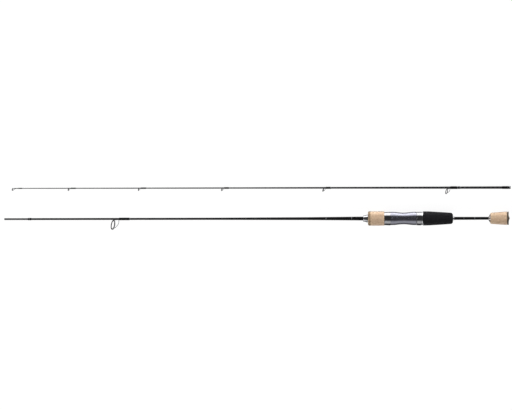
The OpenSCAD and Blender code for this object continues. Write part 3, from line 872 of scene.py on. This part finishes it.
class Guide:
    """Sizes of one line guide. The ring's mount gives its bore, and the rest grows with that."""

    def __init__(self, name, section):
        mount = MOUNTS[name + "_line_ring"]
        self.name = name
        self.section = section
        self.centre = Vector(mount["pos_m"])
        self.axis = Vector(mount["axis"]).normalized()
        self.up = (section.out - section.out.dot(self.axis) * self.axis).normalized()
        self.across = self.axis.cross(self.up)
        self.bore = mount["dims"]["r_mm"] * MM
        self.ring = self.bore / BORE_SHARE
        self.holder = self.ring + HOLDER_WALL
        size = 2 * self.holder
        self.thickness = 0.55 * MM + size * 0.045
        self.ring_thickness = self.thickness + 0.25 * MM + size * 0.02
        self.leg = 0.24 * MM + size * 0.018
        self.foot_width = 0.6 * MM + size * 0.08
        self.foot_thickness = 0.3 * MM + size * 0.012

    def circle(self, along, r, around=72):
        """Loop of points round the ring's axis."""
        middle = self.centre + self.axis * along
        return [middle + r * (math.cos(a) * self.up + math.sin(a) * self.across) for a in angles(around)]

    def loops(self, profile, steps):
        return [self.circle(along, r) for along, r in fillet(profile, steps)]

    def ring_piece(self):
        """Ceramic ring, rounded like a bead on its inside and bevelled where it sits in its holder."""
        t = self.ring_thickness / 2
        lip = min(t, (self.ring - self.bore) * 0.55)
        bevel = (self.ring - self.bore) * 0.2
        profile = [(-t, self.bore, lip), (t, self.bore, lip), (t, self.ring, bevel), (-t, self.ring, bevel)]
        Shell().grid(self.loops(profile, 8), closed=True).piece(self.name + "_ring")

    def holder_rows(self):
        """The pressed collar that holds the ring, with a rolled outer edge."""
        t = self.thickness / 2
        inside = self.ring - 0.02 * MM
        roll = 0.14 * MM
        return self.loops([(-t, inside), (-t, self.holder, roll), (t, self.holder, roll), (t, inside)], 4)

    def weld(self, side, angle):
        """Where a leg meets the holder, on its side of the guide."""
        r = self.holder - HOLDER_WALL / 2
        return self.centre + r * (math.cos(angle) * self.up + side * math.sin(angle) * self.across)

    def leg_rows(self, toe, end, bow):
        """A leg bowed towards the butt, thicker at its toe and rounded off where it is welded on."""
        chord = end - toe
        bulge = (Vector((1, 0, 0)) - chord * (chord.x / chord.length_squared)).normalized()
        steps = 24
        points = []
        sizes = []
        for i in range(steps + 1):
            t = math.sin(math.pi / 2 * i / steps)
            points.append(toe + chord * t + bulge * bow * 4 * t * (1 - t))
            root = 1 + 0.3 * (1 - smoothstep(t / 0.15))
            rounding = 0.2 + 0.8 * quarter_round((1 - t) * chord.length / self.leg)
            sizes.append((self.leg * 0.85 * root * rounding, self.leg * 1.1 * root * rounding))
        return sweep(points, sizes, self.across)

    def foot_rows(self, start, end):
        """The flat foot on the blank, ground thinner and narrower towards its end."""
        steps = 16
        points = []
        sizes = []
        for i in range(steps + 1):
            share = i / steps
            x = start + (end - start) * share
            thick = self.foot_thickness * (1.3 - share)
            narrow = 1 - 0.45 * smoothstep((share - 0.5) / 0.5)
            heel = 0.75 if i == 0 else 1
            points.append(self.section.at(x, self.section.radius(x) + thick * 0.35))
            sizes.append((thick * 0.75, self.foot_width / 2 * narrow * heel))
        return sweep(points, sizes, self.section.side)

    def frame_piece(self):
        section = self.section
        start, end, _ = reach(self.name + "_wrap")
        toe = section.at(start - TOE, section.radius(start - TOE) + self.foot_thickness / 2)
        height = section.out.dot(self.centre - section.at(self.centre.x))
        shell = Shell().grid(self.holder_rows(), closed=True)
        for side in (-1, 1):
            shell.grid(self.leg_rows(toe, self.weld(side, LEG_ANGLE), height * LEG_BOW))
        shell.grid(self.foot_rows(start - HEEL, end - 1 * MM))
        shell.piece(self.name + "_frame")


def make_guides():
    for name, section in [("butt_guide", butt)] + [(f"guide_{n}", tip) for n in range(1, 6)]:
        guide = Guide(name, section)
        guide.ring_piece()
        guide.frame_piece()
        foot_wrap(name + "_wrap", guide)


def make_tip_top():
    """The last ring, on two legs that are soldered to a tube over the blank's end."""
    guide = Guide("tip_top", tip)
    guide.ring_piece()
    blank_start = low("tip_blank").x
    tube_start = blank_start - 0.6 * MM
    tube_end = low("tip_top_wrap").x
    outer = tip.radius(blank_start) + 0.35 * MM
    leg_start = blank_start + 2.4 * MM
    leg_out = 0.86 * MM
    leg_angle = math.atan2(0.5, 0.7)
    tube = [(tube_start, 0), (tube_start, outer, 0.4 * MM), (tube_end, outer, 0.15 * MM), (tube_end, 0)]
    shell = Shell().grid(guide.holder_rows(), closed=True)
    shell.grid(turned(tip, tube, around=48), closed=True)
    for side in (-1, 1):
        toe = tip.at(leg_start, leg_out, side * leg_angle)
        shell.grid(guide.leg_rows(toe, guide.weld(side, math.pi / 2), 0.5 * MM))
    shell.piece("tip_top_frame")
    plain_wrap("tip_top_wrap", tip, WINDING)


# ---------------- reel seat and hoods

# The body: its radii, the depth of its waist and how far that stays from its ends, and the flat bed.
SEAT_R = high("reel_seat_body").z - butt.z
SEAT_BORE = 6 * MM
WAIST = 1.5 * MM
WAIST_INSET = 3 * MM
BED = butt.y - MOUNTS["reel_foot_bed"]["pos_m"][1]

# The threaded barrel.
THREAD_PITCH = 2 * MM
THREAD_DEPTH = 0.7 * MM
KEYWAY_HALF = 1.5 * MM
KEYWAY_DEPTH = 1.0 * MM

# The hoods, and the pocket for the reel's foot inside their liners.
HOOD_WALL = 0.7 * MM
LINER_WALL = 0.8 * MM
POCKET_HALF = 6.6 * MM
POCKET_CORNER = 1.5 * MM
POCKET_TOP = butt.y - low("front_hood").y - HOOD_WALL - LINER_WALL


def seat_radius(x, angle, start, end):
    """The body narrows at its waist, and is flat where the reel's foot rests."""
    share = clamp((x - start - WAIST_INSET) / (end - start - 2 * WAIST_INSET))
    r = SEAT_R - WAIST * math.sin(math.pi * share) ** 2
    if math.cos(angle) > 0.2:
        r = soft_min(r, BED / math.cos(angle), 0.5 * MM)
    return r


def seat_rows(front, start, end, around=240):
    """The neck inside the front hood, and the body between the hoods."""
    steps = 80
    neck = SEAT_R - HOOD_WALL - 0.02 * MM
    neck_bed = BED - 0.5 * MM
    turn = angles(around)
    rows = [butt.loop(front, SEAT_BORE, around)]
    for x in (front, start):
        rows.append([butt.at(x, min(neck, neck_bed / max(math.cos(a), 0.2)), a) for a in turn])
    for i in range(steps + 1):
        x = start + (end - start) * i / steps
        edge = 0.15 * MM if i in (0, steps) else 0
        rows.append([butt.at(x, seat_radius(x, a, start, end) - edge, a) for a in turn])
    rows.append(butt.loop(end, SEAT_BORE, around))
    return rows


def barrel_radius(x, angle, start, end):
    """Root of the lock thread with its ridge wound round it, cut away along the keyway."""
    phase = ((x - start) / THREAD_PITCH + angle / (2 * math.pi)) % 1
    ridge = smoothstep(phase / 0.3) * (1 - smoothstep((phase - 0.5) / 0.3))
    run_out = smoothstep((x - start - THREAD_PITCH) / THREAD_PITCH) * smoothstep((end - x) / THREAD_PITCH)
    r = BARREL - THREAD_DEPTH + THREAD_DEPTH * ridge * run_out
    if math.cos(angle) < -0.9 and abs(math.sin(angle)) * BARREL < KEYWAY_HALF:
        r = (BARREL - KEYWAY_DEPTH) / abs(math.cos(angle))
    return r


def barrel_rows(start, end):
    """The threaded barrel, with two close points at each edge of its keyway to keep the edge sharp."""
    keyway = math.asin(KEYWAY_HALF / BARREL)
    edges = [math.pi + side * (keyway + gap) for side in (-1, 1) for gap in (0.002, -0.002)]
    turn = sorted(angles(120) + edges)
    steps = round((end - start) / (THREAD_PITCH / 10))
    rows = [[butt.at(start - MM, SEAT_BORE, a) for a in turn]]
    for i in range(steps + 1):
        x = start + (end - start) * i / steps
        rows.append([butt.at(x, barrel_radius(x, a, start, end), a) for a in turn])
    rows.append([butt.at(end, SEAT_BORE, a) for a in turn])
    return rows


def make_seat():
    front, end, _ = reach("reel_seat_body")
    body_end = low("moving_hood").x - PLAY
    shell = Shell().grid(seat_rows(front, high("front_hood").x, body_end))
    shell.grid(barrel_rows(body_end, end))
    shell.piece("reel_seat_body", crease=38)


def hood_radius(angle, grow):
    """The round seat joined to the hump over the reel's foot; grow is the distance outside the pocket."""
    circle = SEAT_R - HOOD_WALL - LINER_WALL + grow
    cos, sin = math.cos(angle), abs(math.sin(angle))
    if cos <= 0.05:
        return circle
    corner = POCKET_CORNER + grow
    flat_top = POCKET_TOP + grow
    flat_side = POCKET_HALF + grow
    to_top = flat_top / cos
    to_side = flat_side / max(sin, 1e-9)
    if to_top * sin <= flat_side - corner:
        box = to_top
    elif to_side * cos <= flat_top - corner:
        box = to_side
    else:
        a, b = flat_top - corner, flat_side - corner
        along = a * cos + b * sin
        box = along + math.sqrt(max(along ** 2 - (a * a + b * b - corner * corner), 0))
    return soft_max(circle, box, 0.8 * MM)


def make_hood(node, groove=False):
    start, end, _ = reach(node)
    inside = LINER_WALL + GLUE
    outside = LINER_WALL + HOOD_WALL
    lip = 0.3 * MM
    profile = [(start, inside, lip * 0.4), (start, outside, lip)]
    if groove:
        near, far = start + 1.2 * MM, start + 1.8 * MM
        floor = outside - 0.25 * MM
        edge = 0.06 * MM
        profile += [(near, outside, edge), (near, floor), (far, floor), (far, outside, edge)]
    profile += [(end, outside, lip), (end, inside, lip * 0.4)]
    rows = [[butt.at(x, hood_radius(a, grow), a) for a in angles(240)] for x, grow in fillet(profile)]
    Shell().grid(rows, closed=True).piece(node, crease=40)


# ---------------- CAD nodes that are shown as they are


def finish_cad_nodes():
    for node in ("tip_blank", "butt_blank", "rear_shaft", "seat_bush_front", "seat_bush_rear",
                 "front_hood_liner", "moving_hood_liner", "lock_nut"):
        for material_slot in frame["nodes"][node].material_slots:
            material_slot.material = finish(SLOTS[node])


# ---------------- stage, light and camera

WHITE = (1, 1, 1, 1)


def make_floor():
    """Pale glass of a light table. The camera sees it as plain white, and its glow is a lamp of its own."""
    half = 4
    mesh = bpy.data.meshes.new("light_table")
    corners = [(-half, -half, 0), (half, -half, 0), (half, half, 0), (-half, half, 0)]
    mesh.from_pydata(corners, [], [(0, 1, 2, 3)])
    table = bpy.data.objects.new("light_table", mesh)
    table.location.z = -0.2 * MM
    bpy.context.collection.objects.link(table)
    for rays in ("visible_diffuse", "visible_glossy", "visible_transmission", "visible_shadow"):
        setattr(table, rays, False)
    made = Finish(
        "light_table_finish", Roughness=0.9, Base_Color=(0.1, 0.1, 0.1, 1),
        Emission_Color=WHITE, Emission_Strength=0.945)
    table.data.materials.append(made.material)


def make_world():
    """A dim studio that is brighter overhead, and plain white for the camera beyond the table."""
    world = bpy.data.worlds.new("studio")
    bpy.context.scene.world = world
    world.use_nodes = True
    tree = world.node_tree
    studio = tree.nodes["Background"]
    place = tree.nodes.new("ShaderNodeTexCoord")
    split = tree.nodes.new("ShaderNodeSeparateXYZ")
    rise = tree.nodes.new("ShaderNodeMapRange")
    rise.interpolation_type = "SMOOTHSTEP"
    for key, value in {"From Min": 0.8, "From Max": 1.0, "To Min": 0.05, "To Max": 0.4}.items():
        rise.inputs[key].default_value = value
    tree.links.new(place.outputs["Generated"], split.inputs[0])
    tree.links.new(split.outputs["Z"], rise.inputs["Value"])
    tree.links.new(rise.outputs[0], studio.inputs["Strength"])
    studio.inputs["Color"].default_value = WHITE
    white = tree.nodes.new("ShaderNodeBackground")
    white.inputs["Color"].default_value = WHITE
    path = tree.nodes.new("ShaderNodeLightPath")
    mix = tree.nodes.new("ShaderNodeMixShader")
    tree.links.new(path.outputs["Is Camera Ray"], mix.inputs[0])
    tree.links.new(studio.outputs[0], mix.inputs[1])
    tree.links.new(white.outputs[0], mix.inputs[2])
    tree.links.new(mix.outputs[0], tree.nodes["World Output"].inputs["Surface"])


def make_softbox(name, place, target, size, radiance, spread=180, mirrored=True):
    """Soft lamp of an even radiance. The camera doesn't see it; polished surfaces do if it is mirrored."""
    light = bpy.data.lights.new(name, "AREA")
    light.shape = "RECTANGLE"
    light.size, light.size_y = size
    light.energy = radiance * math.pi * size[0] * size[1]
    light.spread = math.radians(spread)
    lamp = bpy.data.objects.new(name, light)
    lamp.visible_camera = False
    lamp.visible_glossy = mirrored
    lamp.location = place
    lamp.rotation_euler = (Vector(target) - Vector(place)).to_track_quat("-Z", "Y").to_euler()
    bpy.context.collection.objects.link(lamp)


def make_lights():
    """Glow from the table on the camera's side of each section, softboxes, and fill that isn't mirrored."""
    under = -MM
    make_softbox("table_glow", (0, 0, under), (0, 0, 1), (3.0, 3.0), 0.3, spread=150)
    strips = (("glow_butt", butt.y + 11 * MM, tip.y - 20 * MM), ("glow_tip", tip.y + 2 * MM, 1.2))
    for name, start, end in strips:
        middle = (start + end) / 2
        make_softbox(name, (0, middle, under), (0, middle, 1), (1.6, end - start), 1.75, spread=135)
    make_softbox("overhead_softbox", (0, -0.55, 1.6), (0, 0, 0), (2.6, 1.9), 0.35)
    make_softbox("fill_front", (0, 1.9, 0.5), (0, 0, 0), (2.4, 0.8), 4.2, mirrored=False)
    make_softbox("fill_left", (-1.6, -0.5, -0.2), (0, -0.5, -0.2), (2.2, 1.4), 1.4)
    make_softbox("fill_back", (0, -1.9, 1.2), (0, 0, 0), (2.4, 1.2), 3.2, mirrored=False)


def make_camera():
    """The picture is taken from the tip section's side and turned upside down, as the rod was laid out."""
    elevation = math.radians(24.5)
    roll = math.radians(0.1)
    distance = 30.0
    view_width = 0.9564
    toward = Vector((0, math.cos(elevation), math.sin(elevation)))
    up = Vector((0, math.sin(elevation), -math.cos(elevation)))
    right = up.cross(toward)
    target = Vector((-1.9 * MM, 0, 0)) + up * -3.6 * MM
    right, up = right * math.cos(roll) - up * math.sin(roll), up * math.cos(roll) + right * math.sin(roll)
    data = bpy.data.cameras.new("camera")
    data.lens = data.sensor_width * distance / view_width
    camera = bpy.data.objects.new("camera", data)
    camera.matrix_world = Matrix((right, up, toward)).transposed().to_4x4()
    camera.location = target + toward * distance
    bpy.context.collection.objects.link(camera)
    bpy.context.scene.camera = camera


# ---------------- everything in order

make_camera()
make_world()
make_floor()
make_lights()
bpy.context.scene.view_settings.view_transform = "Standard"

make_cork()
make_trim_ring()
make_foam()
make_front_check()
make_rear_check()
make_end_check()
make_slip_ring()
make_end_cap()
make_guides()
make_tip_top()
make_ferrule_stop()
make_trimmed_wraps()
make_plain_bands()
make_socket_band()
make_seat()
make_hood("front_hood")
make_hood("moving_hood", groove=True)
finish_cad_nodes()
